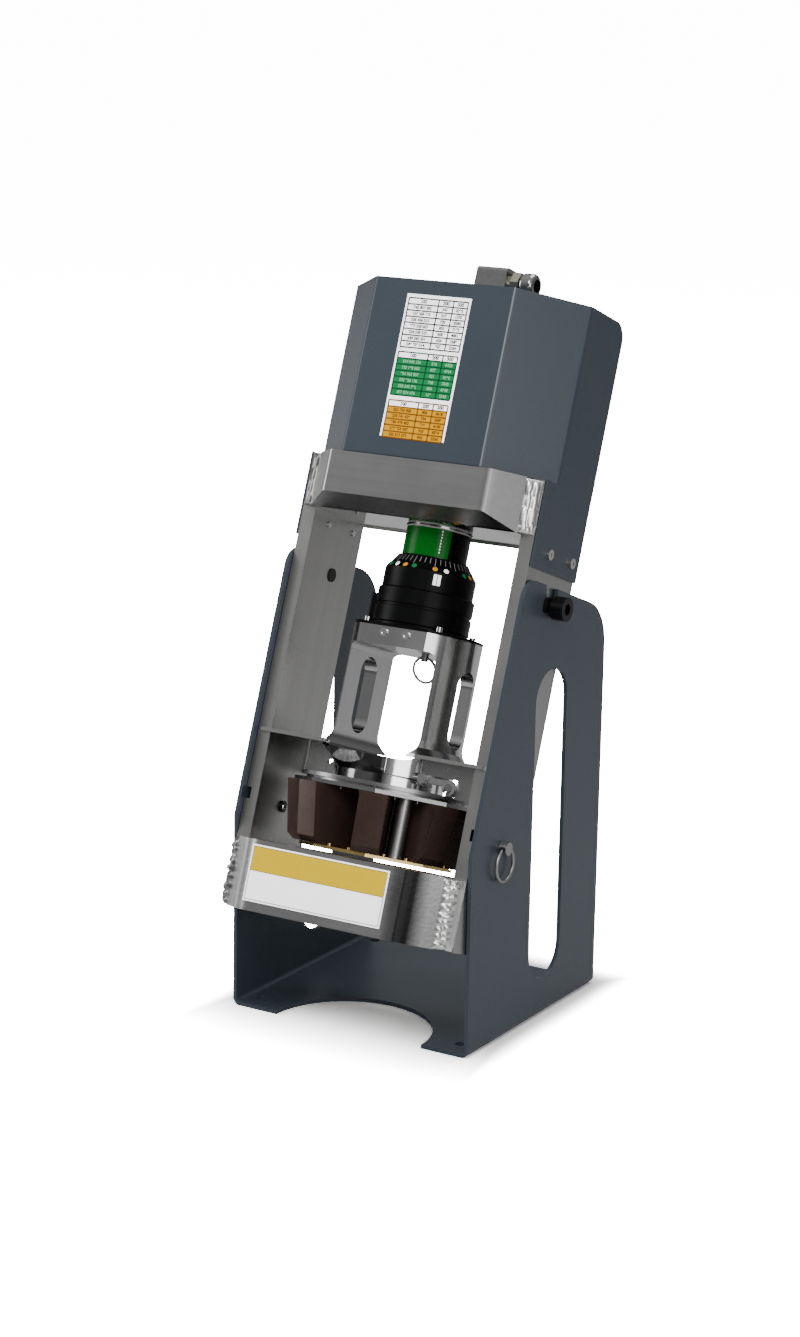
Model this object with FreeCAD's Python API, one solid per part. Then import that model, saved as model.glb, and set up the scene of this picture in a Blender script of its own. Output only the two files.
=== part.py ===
"""Bench hydraulic hose crimper: a tilting crimp head on a bent sheet stand.

Stand pieces are drawn in the row frame: X right, Y back, Z up, millimetres, origin on the bench under
the middle of the stand. Head pieces are drawn in the head frame: x right, v back, w up along the ram,
with the ram axis at x = v = 0 and the pivot bolts level with w = 0, and are then tilted into place.
"""
import FreeCAD, Part
import math
import os

os.makedirs("parts", exist_ok=True)

Vec = FreeCAD.Vector
ACROSS = Vec(1, 0, 0)
BACK = Vec(0, 1, 0)
UP = Vec(0, 0, 1)

# Head tilt and pivot
tilt = 20.0
pivot_y = 13.0
pivot_z = 364.0
pivot_back = 5.0

# Head side plates
head_width = 229.0
plate_thickness = 12.7
plate_depth = 84.5
plate_half = head_width / 2
inside_half = plate_half - plate_thickness
plate_front = -plate_depth / 2
plate_back = plate_depth / 2

# Stand
stand_sheet = 3.5
stand_gap = 0.5
stand_depth = 225.0
stand_bend_height = 174.0
stand_edge_lead = 5.5
stand_top_level = 16.5
stand_bend_radius = 7.0
stand_front_radius = 18.0
stand_rear_radius = 45.0
stand_inside_half = plate_half + stand_gap
stand_half = stand_inside_half + stand_sheet
floor_cutout_radius = 73.0
slot_y = 17.5
slot_bottom = 34.0
slot_top = 310.0
slot_width = 55.0
floor_hole_radius = 4.5
floor_hole_x = 100.0
floor_hole_y = 92.5

# Fits
running = 0.05
loose = 0.3
seat = 0.02

# Top block of the head
block_bottom = 51.8
block_top = 99.3
block_front = -74.2
block_front_bottom = 63.2
block_weld_leg = 8.65
block_edge_radius = 5.0

# Bottom block, the die bowl
bowl_top = -239.0
bowl_height = 60.0
bowl_bottom = bowl_top - bowl_height
bowl_reach = 84.5
bowl_weld_leg = 15.25
bowl_corner_radius = 28.0
bowl_mouth_radius = 76.3
taper = 0.185

# Bar across the back
rear_bar_thickness = 3.0
rear_bar_drop = 1.6
rear_bar_rise = 27.0

# Cylinder
barrel_radius = 37.0
bore_radius = 29.0
barrel_seat_depth = 20.0
barrel_top = 235.0
cap_thickness = 12.0
gland_radius = 33.0
gland_height = 13.0
wiper_height = 3.0
gland_lip = 4.0
gland_lip_radius = 29.2

# Ram
ram_radius = 27.0
ram_travel = 45.0
ram_top = 180.0
ram_collar_height = 12.0
ram_hollow_radius = 14.0
ram_hollow_bottom = 64.0
tenon_radius = 20.0
tenon_length = 10.0
seal_depth = 2.5
seal_height = 4.0
spring_wire = 2.4
spring_radius = 10.0
spring_turns = 9

# Sleeve, dial and collar on the ram
sleeve_radius = 28.3
sleeve_top = 51.0
dial_top = 25.0
dial_top_radius = 30.5
dial_shoulder = 12.0
dial_radius = 39.8
dial_bottom = -4.7
collar_radius = 42.0
collar_groove = 1.2
collar_lug_reach = 46.5
collar_lug_half = 14.0
collar_lug_top = -11.0

# Pusher
pusher_top = -41.0
cap_plate_thickness = 2.5
pusher_radius = 56.0
pusher_flat = -45.0
pusher_flange = 16.0
window_half = 42.0
window_top = pusher_top - pusher_flange
window_bottom = -150.0
window_top_radius = 6.0
window_bottom_radius = 15.0
leg_slot_width = 27.0
leg_slot_top = -66.0
leg_slot_bottom = -133.0
base_flare_top = -131.0
base_flare_radius = 62.0
base_lip = -146.5
base_lip_radius = 63.5
base_cone_bottom = -165.0
base_radius = 46.6
pusher_bottom = -173.0
hose_bore_radius = 26.0
rib_count = 8
pocket_floor = 51.5
pocket_half_width = 20.5
lip_thickness = 2.0
clear_radius = 48.0
clear_start = -67.5
clear_end = -12.0

# Small screws of the pusher
small_screw_radius = 1.5
small_screw_length = 4.0
set_screw_places = (-8.3, 13.7)
set_screw_drop = 5.5
set_screw_head_radius = 3.6
set_screw_head_height = 1.4
cap_screw_circle = 46.5
cap_screw_angle = 40.0
cap_screw_head_radius = 2.8
cap_screw_head_height = 4.6

# Wings that guide the pusher between the side plates
wing_thickness = 3.0
wing_half_depth = 43.0
wing_start = 45.0
wing_tongue_reach = 110.0
wing_tongue_front = -46.0

# Die cage
die_count = 8
first_die_angle = 22.5
die_bottom = -232.5
die_top = -182.0
die_half_width = 12.0
die_bevel = 5.0
closed_crimp_radius = 10.0
die_gap = 0.25
cage_disc_radius = 76.0
cage_disc_thickness = 5.5
cage_disc_edge = 3.2
cage_step_radius = 71.0
cage_ring_radius = 82.0
cage_bore_radius = 34.0
cage_floor_radius = 67.0
cage_floor_thickness = 2.7
post_radius = 6.0
post_circle = 60.0
post_count = 4
cage_screw_radius = 1.8
cage_screw_circle = 63.0
cage_screw_height = 2.4
cage_screw_spread = 9.0

# Hood over the cylinder
hood_sheet = 2.0
hood_gap = 0.5
hood_front = -72.3
hood_front_half = 68.0
hood_top = 253.0
hood_back = 42.25
hood_bend_radius = 4.0
hood_roll_radius = 16.0
hood_seat_gap = 0.8
skirt_bottom = 27.0
relief_radius = 4.0

# Fasteners of the hood
hood_screw_level = 41.5
hood_screw_front = -16.0
hood_screw_back = 26.0
hood_screw_radius = 2.5
hood_screw_head_radius = 4.6
hood_screw_head_height = 2.6

# Pivot bolts
pivot_thread_radius = 6.0
shoulder_radius = 8.0
pivot_head_radius = 10.2
pivot_head_length = 12.0
washer_thickness = 3.0
washer_width = 26.0
washer_height = 13.0
washer_forward = 3.0
notch_half = 10.0
socket_radius = 5.2
socket_depth = 6.0

# Lock pins
lock_reach = 206.4
lock_start = 1.9
lock_pin_radius = 4.8
lock_groove_depth = 5.0
lock_swing = 11.0
lock_head_radius = 5.7
lock_head_length = 7.5
pull_ring_radius = 14.2
pull_ring_wire = 1.4

# Ball plunger for the die cage
plunger_level = -207.5
plunger_radius = 5.0
plunger_depth = 6.5
plunger_reach = 2.0
plunger_ball_radius = 3.0

# Inlet fitting on the hood, off the ram axis
inlet_x = 7.5
port_radius = 5.0
stem_radius = 8.0
elbow_level = 271.5
elbow_half_width = 12.0
elbow_half_length = 15.0
elbow_edge_radius = 3.5
inlet_neck_radius = 7.0
inlet_neck_end = 26.0
inlet_hex_flats = 19.0
inlet_hex_end = 33.5
coupler_end = 47.5
coupler_radius = 10.6
coupler_edge_radius = 4.0
inlet_bore_radius = 6.0
inlet_bore_length = 9.0

# Release plunger in the pusher and its ring
release_x = 10.0
release_radius = 3.2
release_length = 11.3
release_eye_rise = 3.4
release_ring_radius = 11.0
release_ring_wire = 1.2

# Latch between pusher and cage
latch_v = -28.0
latch_thickness = 4.0
latch_pivot_x = 47.5
latch_pivot_level = -162.5
latch_pin_x = 73.5
latch_pin_level = -166.3
latch_pin_radius = 3.0
hook_radius = 6.4
hook_eye_radius = 4.9
hook_arm_half = 2.6
bracket_start = 43.5
bracket_end = 100.0
bracket_bottom = -158.5
bracket_foot_end = 53.5
bracket_far_foot = 79.0
bracket_foot_bottom = -168.0
bracket_far_foot_bottom = -174.5
bracket_screw_places = ((66.0, -150.5), (94.0, -152.5))
bracket_screw_radius = 1.5
bracket_screw_head_radius = 2.6
bracket_screw_head_height = 1.6
catch_post_half = 4.0
catch_post_depth = 6.0
catch_post_rise = 4.0


def to_head(shape):
    """Tilt a shape drawn in the head frame into the row frame."""
    sine = math.sin(math.radians(tilt))
    cosine = math.cos(math.radians(tilt))
    base = Vec(0, pivot_y - pivot_back * cosine, pivot_z + pivot_back * sine)
    place = FreeCAD.Placement(base, FreeCAD.Rotation(ACROSS, -tilt))
    moved = shape.copy()
    moved.Placement = place.multiply(moved.Placement)
    return moved


def head_point(x, v, w):
    """A head-frame point in the row frame."""
    return to_head(Part.Vertex(Vec(x, v, w))).Point


def save(name, *solids, tilted=True):
    """Write one node; several solids become a group."""
    shape = solids[0] if len(solids) == 1 else Part.makeCompound(list(solids))
    if tilted:
        shape = to_head(shape)
    shape.exportStep("parts/" + name + ".step")
    return shape


def brick(x0, x1, v0, v1, w0, w1):
    return Part.makeBox(x1 - x0, v1 - v0, w1 - w0, Vec(x0, v0, w0))


def rod(radius, start, end):
    """A round bar from one point to another."""
    return Part.makeCylinder(radius, (end - start).Length, start, end - start)


def tube(outer, inner, w0, w1, x=0.0, v=0.0):
    start = Vec(x, v, w0)
    end = Vec(x, v, w1)
    return rod(outer, start, end).cut(rod(inner, start - UP, end + UP))


def prism(points, w0, w1):
    """A plan outline of (x, v) corners raised from w0 to w1."""
    corners = [Vec(x, v, w0) for x, v in points]
    return Part.Face(Part.makePolygon(corners + corners[:1])).extrude(Vec(0, 0, w1 - w0))


def turned(profile):
    """A profile of (radius, w) corners turned about the ram axis."""
    corners = [Vec(r, 0, w) for r, w in profile]
    return Part.Face(Part.makePolygon(corners + corners[:1])).revolve(Vec(0, 0, 0), UP, 360)


def polygon_plan(count, radius, first_angle):
    angles = [math.radians(first_angle + 360.0 * i / count) for i in range(count)]
    return [(radius * math.cos(a), radius * math.sin(a)) for a in angles]


def ring_of(shape, count, first_angle=0.0):
    """Copies of a shape spaced evenly round the ram axis."""
    copies = []
    for i in range(count):
        turned_copy = shape.copy()
        turned_copy.rotate(Vec(0, 0, 0), UP, first_angle + 360.0 * i / count)
        copies.append(turned_copy)
    return copies


def mirrored(shape):
    return shape.mirror(Vec(0, 0, 0), ACROSS)


def edges_along(shape, direction, points, ignore):
    """Straight edges along a direction that pass through any of the points; ignore names the free axis."""
    found = []
    for edge in shape.Edges:
        start = edge.Vertexes[0].Point
        run = edge.Vertexes[-1].Point - start
        if run.Length < 1e-6 or abs(abs(run.normalize().dot(direction)) - 1) > 1e-6:
            continue
        for point in points:
            gap = start - point
            setattr(gap, ignore, 0)
            if gap.Length < 0.01:
                found.append(edge)
    return found


def obround_prism(width, height, centre, direction, length):
    """An obround bar along a direction, its long side along Z."""
    side = UP.cross(direction)
    half = height / 2 - width / 2
    low = centre - UP * half
    high = centre + UP * half
    reach = side * (width / 2)
    path = [
        Part.LineSegment(low - reach, high - reach).toShape(),
        Part.Arc(high - reach, high + UP * (width / 2), high + reach).toShape(),
        Part.LineSegment(high + reach, low + reach).toShape(),
        Part.Arc(low + reach, low - UP * (width / 2), low - reach).toShape(),
    ]
    return Part.Face(Part.Wire(path)).extrude(direction * length)


def socket_screw(radius, head_radius, seat_point, direction, shank, head, socket):
    """A screw with a round head and a hexagon socket; direction points from shank to head."""
    body = rod(radius, seat_point - direction * shank, seat_point)
    cap = rod(head_radius, seat_point, seat_point + direction * head)
    top = seat_point + direction * head
    hexagon = Part.makePolygon([Vec(socket * math.cos(math.radians(60 * i)),
                                    socket * math.sin(math.radians(60 * i)), 0) for i in range(7)])
    key = Part.Face(hexagon).extrude(Vec(0, 0, -head * 0.6))
    key.Placement = FreeCAD.Placement(top, FreeCAD.Rotation(UP, direction))
    return body.fuse(cap).cut(key)


# Stand: one sheet bent up at both sides
stand_front = -stand_depth / 2


def pivot_frame(v, w):
    """Row-frame (y, z) of a point given back and up from the pivot in the tilted directions."""
    sine = math.sin(math.radians(tilt))
    cosine = math.cos(math.radians(tilt))
    return pivot_y + v * cosine + w * sine, pivot_z - v * sine + w * cosine


def stand_side_outline():
    sine = math.sin(math.radians(tilt))
    cosine = math.cos(math.radians(tilt))
    edge_v = plate_front - pivot_back - stand_edge_lead
    top_front = pivot_frame(edge_v, stand_top_level)
    along = (stand_depth / 2 - top_front[0]) / cosine
    top_rear = (stand_depth / 2, top_front[1] - along * sine)
    bend_z = top_front[1] - (top_front[0] - stand_front) * cosine / sine
    return [(stand_front, 0), (stand_front, bend_z), top_front, top_rear, (stand_depth / 2, 0)]


def lock_place():
    """Where the lock pins' axis passes, in the row frame."""
    turn = math.radians(lock_start)
    return head_point(0, pivot_back - lock_reach * math.sin(turn), -lock_reach * math.cos(turn))


def make_stand():
    outline = stand_side_outline()
    corners = [Vec(-stand_half, y, z) for y, z in outline]
    side = Part.Face(Part.makePolygon(corners + corners[:1])).extrude(ACROSS * (2 * stand_half))
    side = side.makeFillet(stand_front_radius, edges_along(side, ACROSS, [corners[2]], "x"))
    side = side.makeFillet(stand_rear_radius, edges_along(side, ACROSS, [corners[3]], "x"))
    height = pivot_z + stand_depth
    outer = Part.makeBox(2 * stand_half, stand_depth, height, Vec(-stand_half, stand_front, 0))
    outer = outer.makeFillet(stand_bend_radius, edges_along(outer, BACK, [
        Vec(-stand_half, 0, 0), Vec(stand_half, 0, 0)], "y"))
    inner = Part.makeBox(2 * stand_inside_half, stand_depth + 2, height,
                         Vec(-stand_inside_half, stand_front - 1, stand_sheet))
    inner = inner.makeFillet(stand_bend_radius - stand_sheet, edges_along(inner, BACK, [
        Vec(-stand_inside_half, 0, stand_sheet), Vec(stand_inside_half, 0, stand_sheet)], "y"))
    shell = outer.cut(inner).common(side)
    cuts = [rod(floor_cutout_radius, Vec(0, stand_front, -1), Vec(0, stand_front, stand_sheet + 1))]
    for x in (-floor_hole_x, floor_hole_x):
        for y in (-floor_hole_y, floor_hole_y):
            cuts.append(rod(floor_hole_radius, Vec(x, y, -1), Vec(x, y, stand_sheet + 1)))
    middle = Vec(-stand_half - 1, slot_y, (slot_bottom + slot_top) / 2)
    cuts.append(obround_prism(slot_width, slot_top - slot_bottom, middle, ACROSS, 2 * stand_half + 2))
    notch = shoulder_radius + running
    cuts.append(rod(notch, Vec(-stand_half - 1, pivot_y, pivot_z), Vec(stand_half + 1, pivot_y, pivot_z)))
    cuts.append(brick(-stand_half - 1, stand_half + 1, pivot_y - notch, pivot_y + notch, pivot_z, height))
    cuts.append(brick(-stand_half - 1, stand_half + 1, pivot_y - notch_half, pivot_y + notch_half,
                      pivot_z + shoulder_radius, height))
    pin = lock_place()
    cuts.append(rod(lock_pin_radius + running, Vec(-stand_half - 1, pin.y, pin.z),
                    Vec(stand_half + 1, pin.y, pin.z)))
    for cut in cuts:
        shell = shell.cut(cut)
    save("stand_shell", shell, tilted=False)


make_stand()


# Side plates of the head
def lock_groove():
    """The arc groove in a plate's outer face that the lock pin's nose runs in; it sets the tilt stops."""
    half = lock_pin_radius + loose
    reach = lock_reach
    centre = Vec(plate_half - lock_groove_depth, pivot_back, 0)

    def at(radius, angle, past=0.0):
        turn = math.radians(lock_start + angle)
        back = Vec(0, math.cos(turn), -math.sin(turn))
        return centre + Vec(0, -radius * math.sin(turn), -radius * math.cos(turn)) + back * past

    start_cap = at(reach, 0, half)
    end_cap = at(reach, lock_swing, -half)
    outer = [at(reach + half, share * lock_swing) for share in (0.0, 0.5, 1.0)]
    inner = [at(reach - half, share * lock_swing) for share in (1.0, 0.5, 0.0)]
    path = [
        Part.Arc(*outer).toShape(),
        Part.Arc(outer[-1], end_cap, inner[0]).toShape(),
        Part.Arc(*inner).toShape(),
        Part.Arc(inner[-1], start_cap, outer[0]).toShape(),
    ]
    return Part.Face(Part.Wire(path)).extrude(ACROSS * (lock_groove_depth + 1))


def make_side_plates():
    right = brick(inside_half, plate_half, plate_front, plate_back, bowl_bottom, block_top)
    right = right.cut(lock_groove())
    start = inside_half - 1
    end = plate_half + 1
    right = right.cut(rod(pivot_thread_radius, Vec(start, pivot_back, 0), Vec(end, pivot_back, 0)))
    for v in (hood_screw_front, hood_screw_back):
        right = right.cut(rod(hood_screw_radius, Vec(start, v, hood_screw_level),
                              Vec(end, v, hood_screw_level)))
    left = mirrored(right)
    seat_hole = rod(plunger_radius, Vec(-inside_half - plunger_depth, 0, plunger_level),
                    Vec(-inside_half + 1, 0, plunger_level))
    save("right_side_plate", right)
    save("left_side_plate", left.cut(seat_hole))


make_side_plates()


# Blocks that join the side plates
def block_plan(front, rear, weld_leg):
    """A plan cut at 45 degrees at its front corners, and at its rear ones if it reaches past the plates."""
    side_front = plate_front - weld_leg
    half_plan = [(inside_half - (side_front - front), front), (inside_half, side_front)]
    if rear > plate_back:
        side_rear = plate_back + weld_leg
        half_plan += [(inside_half, side_rear), (inside_half - (rear - side_rear), rear)]
    else:
        half_plan.append((inside_half, rear))
    return half_plan + [(-x, v) for x, v in reversed(half_plan)]


def make_head_block():
    """The underside rises to the front face in a shallow bevel."""
    plan = block_plan(block_front, plate_back, block_weld_leg)
    block = prism(plan, block_bottom, block_top)
    corners = [Vec(x, v, 0) for x, v in plan if v == block_front]
    block = block.makeFillet(block_edge_radius, edges_along(block, UP, corners, "z"))
    bevel = [Vec(-inside_half, block_front, block_bottom), Vec(-inside_half, block_front, block_front_bottom),
             Vec(-inside_half, plate_front - block_weld_leg, block_bottom)]
    block = block.cut(Part.Face(Part.makePolygon(bevel + bevel[:1])).extrude(ACROSS * (2 * inside_half)))
    seat_level = block_top - barrel_seat_depth
    block = block.cut(rod(gland_radius, Vec(0, 0, block_bottom + gland_lip), Vec(0, 0, seat_level + 1)))
    block = block.cut(rod(gland_lip_radius, Vec(0, 0, block_bottom - 1), Vec(0, 0, seat_level)))
    block = block.cut(rod(barrel_radius, Vec(0, 0, seat_level), Vec(0, 0, block_top + 1)))
    save("head_block", block)


make_head_block()


def bowl_radius_at(w):
    return bowl_mouth_radius + taper * (w - bowl_top)


def make_die_bowl():
    plan = block_plan(-bowl_reach, bowl_reach, bowl_weld_leg)
    bowl = prism(plan, bowl_bottom, bowl_top)
    corners = [Vec(x, v, 0) for x, v in plan if abs(x) < inside_half]
    bowl = bowl.makeFillet(bowl_corner_radius, edges_along(bowl, UP, corners, "z"))
    low = bowl_bottom - 1
    high = bowl_top + 1
    cone = turned([(0, low), (bowl_radius_at(low), low), (bowl_radius_at(high), high), (0, high)])
    save("die_bowl", bowl.cut(cone))


make_die_bowl()


# Weld beads in the corners between the blocks and the plates
def weld_bead(side_v, plate_v, w0, w1, lap):
    """A bead from the block's side at side_v over the plate's edge at plate_v."""
    corner = Vec(inside_half, plate_v, w0)
    on_block = Vec(inside_half, side_v, w0)
    on_plate = Vec(inside_half + lap, plate_v, w0)
    bulge = (on_block + on_plate) * 0.5 + (on_block + on_plate - corner * 2) * 0.12
    path = [
        Part.LineSegment(corner, on_block).toShape(),
        Part.Arc(on_block, bulge, on_plate).toShape(),
        Part.LineSegment(on_plate, corner).toShape(),
    ]
    return Part.Face(Part.Wire(path)).extrude(Vec(0, 0, w1 - w0))


def make_weld_beads():
    lap = plate_thickness - 1.0
    block_side = plate_front - block_weld_leg
    bowl_side = plate_front - bowl_weld_leg
    right = [
        weld_bead(block_side, plate_front, block_bottom + 1, block_top - 1, lap),
        weld_bead(bowl_side, plate_front, bowl_bottom + 1, bowl_top - 1, lap),
        weld_bead(-bowl_side, plate_back, bowl_bottom + 1, bowl_top - 1, lap),
    ]
    save("weld_beads", *right, *[mirrored(bead) for bead in right])


make_weld_beads()


# Pale bar across the back, under the top block
def make_rear_bar():
    bar = brick(-inside_half, inside_half, plate_back, plate_back + rear_bar_thickness,
                block_bottom - rear_bar_drop, block_bottom + rear_bar_rise)
    save("rear_bar", bar)


make_rear_bar()


# Hood: folded sheet with cut corners, rolled top edge and side skirts
hood_half = plate_half + hood_gap + hood_sheet


def hood_body(inset):
    """The hood's outside, or its inside when inset by the sheet."""
    half = hood_half - inset
    front = hood_front + inset
    front_half = hood_front_half - inset * (math.sqrt(2) - 1)
    side_front = front + (half - front_half)
    back = hood_back - inset
    top = hood_top - inset
    plan = [(front_half, front), (half, side_front), (half, back), (-half, back), (-half, side_front),
            (-front_half, front)]
    base = block_top + hood_seat_gap - (2.0 if inset else 0.0)
    body = prism(plan, base, top)
    bends = [Vec(x, v, 0) for x, v in plan if v < back]
    body = body.makeFillet(hood_bend_radius - inset, edges_along(body, UP, bends, "z"))
    rolled = edges_along(body, ACROSS, [Vec(0, back, top)], "x")
    return body.makeFillet(hood_roll_radius - inset, rolled)


def make_hood():
    hood = hood_body(0.0).cut(hood_body(hood_sheet))
    level = block_top + hood_seat_gap
    lap = hood_gap + hood_sheet
    for side in (-1, 1):
        inner = side * (hood_half - hood_sheet)
        outer = side * hood_half
        skirt = brick(min(inner, outer), max(inner, outer), plate_front + loose, plate_back - loose,
                      skirt_bottom, level + 12.0)
        relief = rod(relief_radius, Vec(side * hood_half - 6, plate_front + loose + 9.0, level + 4.0),
                     Vec(side * hood_half + 6, plate_front + loose + 9.0, level + 4.0))
        above = brick(min(inner, outer) - 1, max(inner, outer) + 1, plate_front - 1,
                      hood_front + hood_half - hood_front_half + 1.0, level, level + 13.0)
        skirt = skirt.cut(above).cut(relief)
        for v in (hood_screw_front, hood_screw_back):
            skirt = skirt.cut(rod(hood_screw_radius + seat, Vec(inner - side, v, hood_screw_level),
                                  Vec(outer + side, v, hood_screw_level)))
        hood = hood.fuse(skirt)
    hole = stem_radius + 1.0
    hood = hood.cut(rod(hole, Vec(inlet_x, 0, hood_top - hole), Vec(inlet_x, 0, hood_top + hole)))
    save("hood", hood.removeSplitter())


make_hood()


def make_hood_screws():
    screws = []
    for v in (hood_screw_front, hood_screw_back):
        point = Vec(hood_half, v, hood_screw_level)
        reach = hood_half - inside_half + 1.5
        screw = socket_screw(hood_screw_radius, hood_screw_head_radius, point, ACROSS, reach,
                             hood_screw_head_height, 1.7)
        screws += [screw, mirrored(screw)]
    save("hood_screws", *screws)


make_hood_screws()


# Pivot bolts with their tab washers
def make_pivots():
    shoulder_end = stand_half + running + washer_thickness
    seat_point = Vec(shoulder_end, pivot_back, 0)
    bolt = socket_screw(shoulder_radius, pivot_head_radius, seat_point, ACROSS, shoulder_end - plate_half,
                        pivot_head_length, socket_radius)
    thread = rod(pivot_thread_radius, Vec(inside_half - 1, pivot_back, 0), Vec(plate_half + 1, pivot_back, 0))
    bolt = bolt.fuse(thread)
    save("pivot_bolts", bolt, mirrored(bolt))
    start = stand_half + running
    middle = pivot_back - washer_forward
    washer = brick(start, start + washer_thickness, middle - washer_width / 2, middle + washer_width / 2,
                   -washer_height / 2, washer_height / 2)
    washer = washer.makeChamfer(2.5, edges_along(washer, ACROSS, [
        Vec(0, v.y, v.z) for v in [vertex.Point for vertex in washer.Vertexes]], "x"))
    washer = washer.cut(rod(shoulder_radius, Vec(start - 1, pivot_back, 0),
                            Vec(shoulder_end + 1, pivot_back, 0)))
    save("pivot_washers", washer, mirrored(washer))


make_pivots()


# Lock pins, each with a pull ring that hangs from an eye across its head
def make_lock_pins():
    pin = lock_place()
    nose = plate_half - lock_groove_depth + loose
    collar = stand_half + loose
    head_end = collar + lock_head_length
    eye = collar + lock_head_length / 2
    body = rod(lock_pin_radius, Vec(nose, pin.y, pin.z), Vec(collar + 1, pin.y, pin.z))
    body = body.makeChamfer(1.2, [e for e in body.Edges if abs(e.CenterOfMass.x - nose) < 0.01])
    head = rod(lock_head_radius, Vec(collar, pin.y, pin.z), Vec(head_end, pin.y, pin.z))
    body = body.fuse(head)
    sagitta = pull_ring_radius - math.sqrt(pull_ring_radius ** 2 - lock_head_radius ** 2)
    hole = pull_ring_wire + sagitta + loose
    body = body.cut(rod(hole, Vec(eye, pin.y - 10, pin.z), Vec(eye, pin.y + 10, pin.z)))
    ring = Part.makeTorus(pull_ring_radius, pull_ring_wire, Vec(eye, pin.y, pin.z - pull_ring_radius), ACROSS)
    save("right_lock_pin", body, tilted=False)
    save("left_lock_pin", mirrored(body), tilted=False)
    save("right_pin_ring", ring, tilted=False)
    save("left_pin_ring", mirrored(ring), tilted=False)


make_lock_pins()


# Ball plunger that the die cage clicks against
def make_plunger():
    back = -inside_half - plunger_depth
    face = -inside_half + plunger_reach
    body = rod(plunger_radius, Vec(back, 0, plunger_level), Vec(face, 0, plunger_level))
    body = body.cut(rod(plunger_ball_radius + running, Vec(back + 1.5, 0, plunger_level),
                        Vec(face + 1, 0, plunger_level)))
    ball_centre = Vec(face - 0.5, 0, plunger_level)
    ball = Part.makeSphere(plunger_ball_radius, ball_centre)
    save("plunger_body", body)
    save("plunger_ball", ball)


make_plunger()


# Cylinder: barrel screwed into the top block, capped, with a bronze gland and a wiper
def make_cylinder():
    seat_level = block_top - barrel_seat_depth
    save("cylinder_barrel", tube(barrel_radius, bore_radius, seat_level, barrel_top))
    cap = rod(barrel_radius, Vec(0, 0, barrel_top), Vec(0, 0, barrel_top + cap_thickness))
    cap = cap.makeChamfer(2.0, [e for e in cap.Edges if e.CenterOfMass.z > barrel_top + cap_thickness - 0.1])
    cap = cap.cut(rod(port_radius, Vec(inlet_x, 0, barrel_top - 1),
                      Vec(inlet_x, 0, barrel_top + cap_thickness + 1)))
    save("cylinder_cap", cap)
    wiper_top = block_bottom + gland_lip + wiper_height
    save("rod_gland", tube(gland_radius, ram_radius + running, wiper_top, seat_level))
    save("rod_wiper", tube(gland_radius, ram_radius + running, block_bottom + gland_lip, wiper_top))


make_cylinder()


def make_ram():
    hollow = ram_hollow_radius
    top = ram_top
    neck = top - ram_collar_height
    groove_low = neck + (ram_collar_height - seal_height) / 2
    groove_high = groove_low + seal_height
    collar = bore_radius - running
    groove = collar - seal_depth
    tenon_end = pusher_top - tenon_length
    profile = [(0, tenon_end), (tenon_radius, tenon_end), (tenon_radius, pusher_top),
               (ram_radius, pusher_top), (ram_radius, neck), (collar, neck), (collar, groove_low),
               (groove, groove_low), (groove, groove_high), (collar, groove_high), (collar, top),
               (hollow, top), (hollow, ram_hollow_bottom), (0, ram_hollow_bottom)]
    save("ram_rod", turned(profile))
    save("piston_seal", tube(collar + running / 2, groove, groove_low, groove_high))


make_ram()


def make_return_spring():
    """The pull-back spring inside the hollow ram, wound from square wire."""
    low = ram_hollow_bottom
    high = barrel_top
    body_low = low + spring_wire
    body_high = high - spring_wire
    helix = Part.makeHelix((body_high - body_low) / spring_turns, body_high - body_low, spring_radius)
    helix.translate(Vec(0, 0, body_low))
    half = spring_wire / 2
    corners = [Vec(spring_radius + dx, 0, body_low + dw) for dx, dw in
               ((-half, -half), (half, -half), (half, half), (-half, half))]
    section = Part.makePolygon(corners + corners[:1])
    coil = Part.Wire(helix.Edges).makePipeShell([section], True, True)
    end_ring = spring_radius + half
    foot = tube(end_ring, end_ring - spring_wire, low, body_low - half - loose)
    cap_end = tube(end_ring, end_ring - spring_wire, body_high + half + loose, high)
    save("return_spring", coil)
    save("spring_anchors", foot, cap_end)


make_return_spring()


# Sleeve, dial ring and collar on the ram
def make_dial():
    save("ram_sleeve", tube(sleeve_radius, ram_radius, dial_top + loose, sleeve_top))
    bore = ram_radius + running
    dial = turned([(bore, dial_bottom), (dial_radius, dial_bottom), (dial_radius, dial_shoulder),
                   (dial_top_radius, dial_top), (bore, dial_top)])
    save("dial_ring", dial)
    low = pusher_top + cap_plate_thickness
    high = dial_bottom - loose
    middle = (low + high) / 2
    neck = collar_radius - collar_groove
    full = collar_radius
    step = collar_groove
    collar = turned([(ram_radius, low), (neck, low), (neck, low + 2 * step), (full, low + 3 * step),
                     (full, middle), (neck, middle + step / 2), (neck, middle + 2 * step),
                     (full, middle + 2.5 * step), (full, high - step), (full - step, high), (ram_radius, high)])
    lug = brick(-collar_lug_reach, 0, -collar_lug_half, collar_lug_half, low, collar_lug_top)
    lug = lug.makeFillet(2 * step, edges_along(lug, UP, [
        Vec(-collar_lug_reach, -collar_lug_half, 0), Vec(-collar_lug_reach, collar_lug_half, 0)], "z"))
    save("dial_collar", collar.fuse(lug.cut(rod(neck, Vec(0, 0, low), Vec(0, 0, collar_lug_top)))))


make_dial()


# Pusher: a turned yoke with a flat front, a window for the hose and two slotted legs
def front_flat(w0, w1):
    """What the mill takes off the front between two levels."""
    reach = 2 * pusher_radius
    return brick(-reach, reach, -reach, pusher_flat, w0, w1)


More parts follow.
